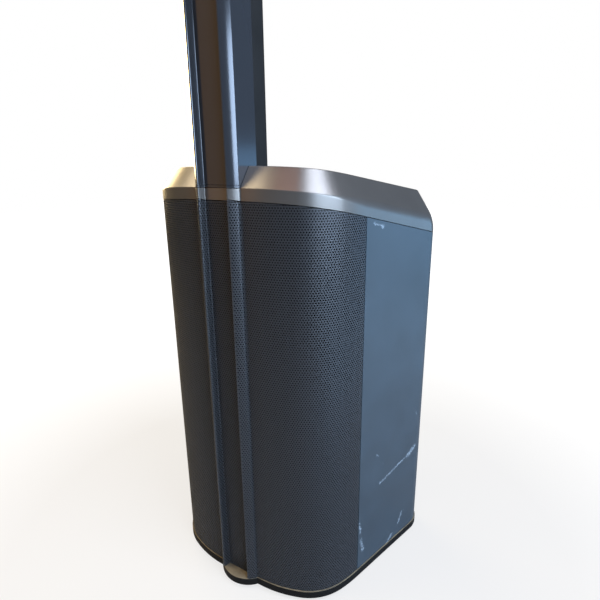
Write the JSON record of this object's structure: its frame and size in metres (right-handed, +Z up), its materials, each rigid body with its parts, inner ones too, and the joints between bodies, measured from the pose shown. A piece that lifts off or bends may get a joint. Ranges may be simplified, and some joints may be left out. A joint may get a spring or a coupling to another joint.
{
  "type": "column pa system",
  "caption": "Column PA system: curved subwoofer cabinet with wrapped steel grille, carrying a plug-in spacer and slim line array with rails and recess.",
  "frame": {"origin": "centre of the footprint box, on the floor", "axes": "+Z up along the column, -Y towards the audience (front), +X to the right when seen from the front"},
  "size_m": [0.3796, 0.2874, 1.8191],
  "materials": {
    "plate": "fine moulded grain",
    "rubber": "matt",
    "shell": "fine spray texture, matt",
    "cap": "satin moulded",
    "steel": "black powder coat",
    "profile": "satin black anodised",
    "cover": "satin moulded",
    "board": "black-stained plywood and board",
    "cone": "pulp cone, matt",
    "magnet": "ferrite and zinc plated steel",
    "panel": "black anodised",
    "pcb": "solder mask, satin",
    "control": "moulded, satin",
    "glass": "glossy"
  },
  "bodies": {
    "cabinet": {"base_plate": "plate", "foot_1": "rubber", "foot_2": "rubber", "foot_3": "rubber", "foot_4": "rubber", "cabinet_shell": "shell", "baffle": "board", "port_tube": "control", "brace": "board", "woofer_1_basket": "steel", "woofer_1_motor": "magnet", "woofer_2_basket": "steel", "woofer_2_motor": "magnet", "front_grille": "steel", "top_cap": "cap", "carry_handle": "rubber", "column_socket": "control", "amplifier_panel": "panel", "combo_jack_1": "control", "combo_jack_2": "control", "link_jack": "control", "mains_inlet": "control", "display_window": "glass", "heat_sink": "panel", "amplifier_board": "pcb", "power_supply": "pcb"},
    "woofer_1_cone": {"woofer_1_cone": "cone"},
    "woofer_2_cone": {"woofer_2_cone": "cone"},
    "power_switch": {"power_switch": "control"},
    "channel_1_knob": {"channel_1_knob": "control"},
    "channel_2_knob": {"channel_2_knob": "control"},
    "sub_level_knob": {"sub_level_knob": "control"},
    "mode_button": {"mode_button": "rubber"},
    "pair_button": {"pair_button": "rubber"},
    "spacer": {"spacer_profile": "profile", "spacer_rear": "cover", "spacer_foot": "control", "spacer_head": "control", "spacer_loom": "rubber"},
    "array": {"array_profile": "profile", "array_rear": "cover", "array_foot": "control", "array_top_cap": "cover", "array_grille": "steel", "array_baffle": "board", "driver_1": "steel", "driver_2": "steel", "driver_3": "steel", "driver_4": "steel", "driver_5": "steel", "driver_6": "steel", "tweeter": "control", "crossover_board": "pcb"},
    "driver_1_cone": {"driver_1_cone": "cone"},
    "driver_2_cone": {"driver_2_cone": "cone"},
    "driver_3_cone": {"driver_3_cone": "cone"},
    "driver_4_cone": {"driver_4_cone": "cone"},
    "driver_5_cone": {"driver_5_cone": "cone"},
    "driver_6_cone": {"driver_6_cone": "cone"}
  },
  "joints": [
    {"name": "woofer_1_stroke", "type": "slide", "parent": "cabinet", "child": "woofer_1_cone", "axis": [0, 1, 0], "range_m": [-0.007, 0.007], "stiffness_N_per_m": 3000},
    {"name": "woofer_2_stroke", "type": "slide", "parent": "cabinet", "child": "woofer_2_cone", "axis": [0, 1, 0], "range_m": [-0.007, 0.007], "stiffness_N_per_m": 3000},
    {"name": "power_switch_rock", "type": "hinge", "parent": "cabinet", "child": "power_switch", "pos_m": [0.008, 0.12295, 0.11], "axis": [1, 0, 0], "range_deg": [-7, 7]},
    {"name": "channel_1_knob_turn", "type": "hinge", "parent": "cabinet", "child": "channel_1_knob", "pos_m": [0.084, 0.12595, 0.246], "axis": [0, 1, 0], "range_deg": [-150, 150]},
    {"name": "channel_2_knob_turn", "type": "hinge", "parent": "cabinet", "child": "channel_2_knob", "pos_m": [0.048, 0.12595, 0.246], "axis": [0, 1, 0], "range_deg": [-150, 150]},
    {"name": "sub_level_knob_turn", "type": "hinge", "parent": "cabinet", "child": "sub_level_knob", "pos_m": [0.012, 0.12595, 0.246], "axis": [0, 1, 0], "range_deg": [-150, 150]},
    {"name": "mode_button_press", "type": "slide", "parent": "cabinet", "child": "mode_button", "axis": [0, -1, 0], "range_m": [0, 0.0015], "stiffness_N_per_m": 600},
    {"name": "pair_button_press", "type": "slide", "parent": "cabinet", "child": "pair_button", "axis": [0, -1, 0], "range_m": [0, 0.0015], "stiffness_N_per_m": 600},
    {"name": "spacer_lift", "type": "slide", "parent": "cabinet", "child": "spacer", "axis": [0, 0, 1], "range_m": [0, 0.08]},
    {"name": "array_lift", "type": "slide", "parent": "spacer", "child": "array", "axis": [0, 0, 1], "range_m": [0, 0.08]},
    {"name": "driver_1_stroke", "type": "slide", "parent": "array", "child": "driver_1_cone", "axis": [0, 1, 0], "range_m": [-0.002, 0.002], "stiffness_N_per_m": 1500},
    {"name": "driver_2_stroke", "type": "slide", "parent": "array", "child": "driver_2_cone", "axis": [0, 1, 0], "range_m": [-0.002, 0.002], "stiffness_N_per_m": 1500},
    {"name": "driver_3_stroke", "type": "slide", "parent": "array", "child": "driver_3_cone", "axis": [0, 1, 0], "range_m": [-0.002, 0.002], "stiffness_N_per_m": 1500},
    {"name": "driver_4_stroke", "type": "slide", "parent": "array", "child": "driver_4_cone", "axis": [0, 1, 0], "range_m": [-0.002, 0.002], "stiffness_N_per_m": 1500},
    {"name": "driver_5_stroke", "type": "slide", "parent": "array", "child": "driver_5_cone", "axis": [0, 1, 0], "range_m": [-0.002, 0.002], "stiffness_N_per_m": 1500},
    {"name": "driver_6_stroke", "type": "slide", "parent": "array", "child": "driver_6_cone", "axis": [0, 1, 0], "range_m": [-0.002, 0.002], "stiffness_N_per_m": 1500}
  ],
  "couplings": [
    {"joint": "woofer_2_stroke", "follows": "woofer_1_stroke", "ratio": 1},
    {"joint": "driver_2_stroke", "follows": "driver_1_stroke", "ratio": 1},
    {"joint": "driver_3_stroke", "follows": "driver_1_stroke", "ratio": 1},
    {"joint": "driver_4_stroke", "follows": "driver_1_stroke", "ratio": 1},
    {"joint": "driver_5_stroke", "follows": "driver_1_stroke", "ratio": 1},
    {"joint": "driver_6_stroke", "follows": "driver_1_stroke", "ratio": 1}
  ]
}
